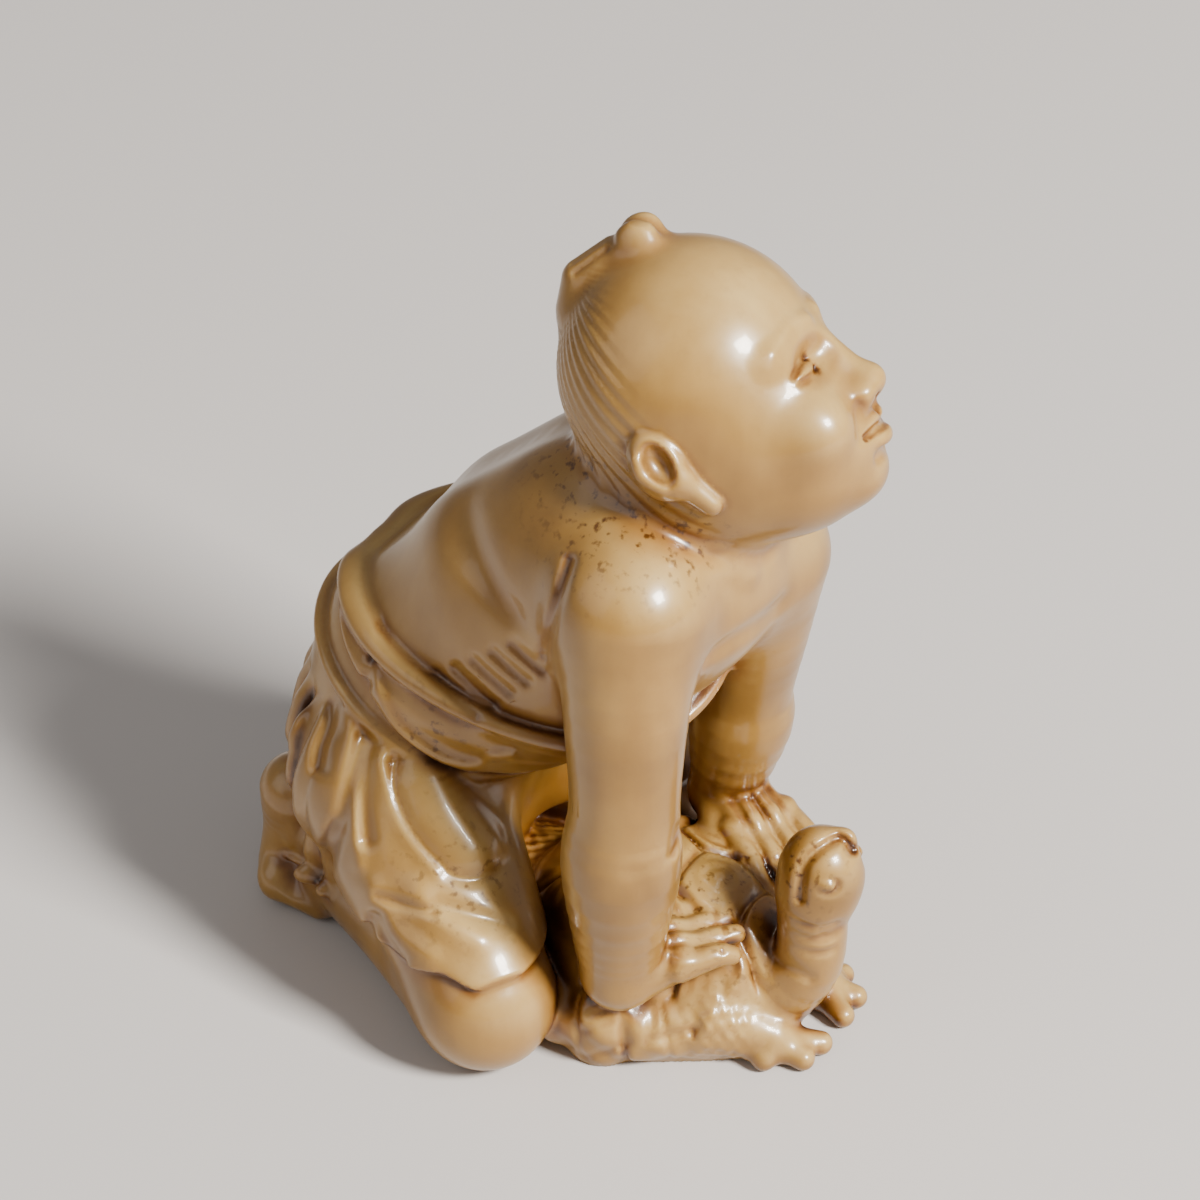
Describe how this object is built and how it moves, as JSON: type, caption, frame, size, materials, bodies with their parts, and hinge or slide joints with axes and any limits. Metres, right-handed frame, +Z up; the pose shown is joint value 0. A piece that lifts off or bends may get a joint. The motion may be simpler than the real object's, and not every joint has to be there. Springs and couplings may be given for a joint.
{
  "type": "netsuke",
  "caption": "Small carved toggle: a bare-chested man in a rolled-down robe kneels and leans on straight arms over a turtle, his head lifted and turned to his left.",
  "frame": {"origin": "on the ground the carving stands on, under the middle of its bounding box", "axes": "+Z up, +X the way the man kneels and the turtle's head points, +Y towards the man's left hand"},
  "size_m": [0.0294, 0.0229, 0.0394],
  "materials": {
    "ivory": "hand-polished ivory, warm cream with honey-brown patina in the hollows"
  },
  "bodies": {
    "root": {"carved_figure": "ivory"}
  },
  "joints": []
}
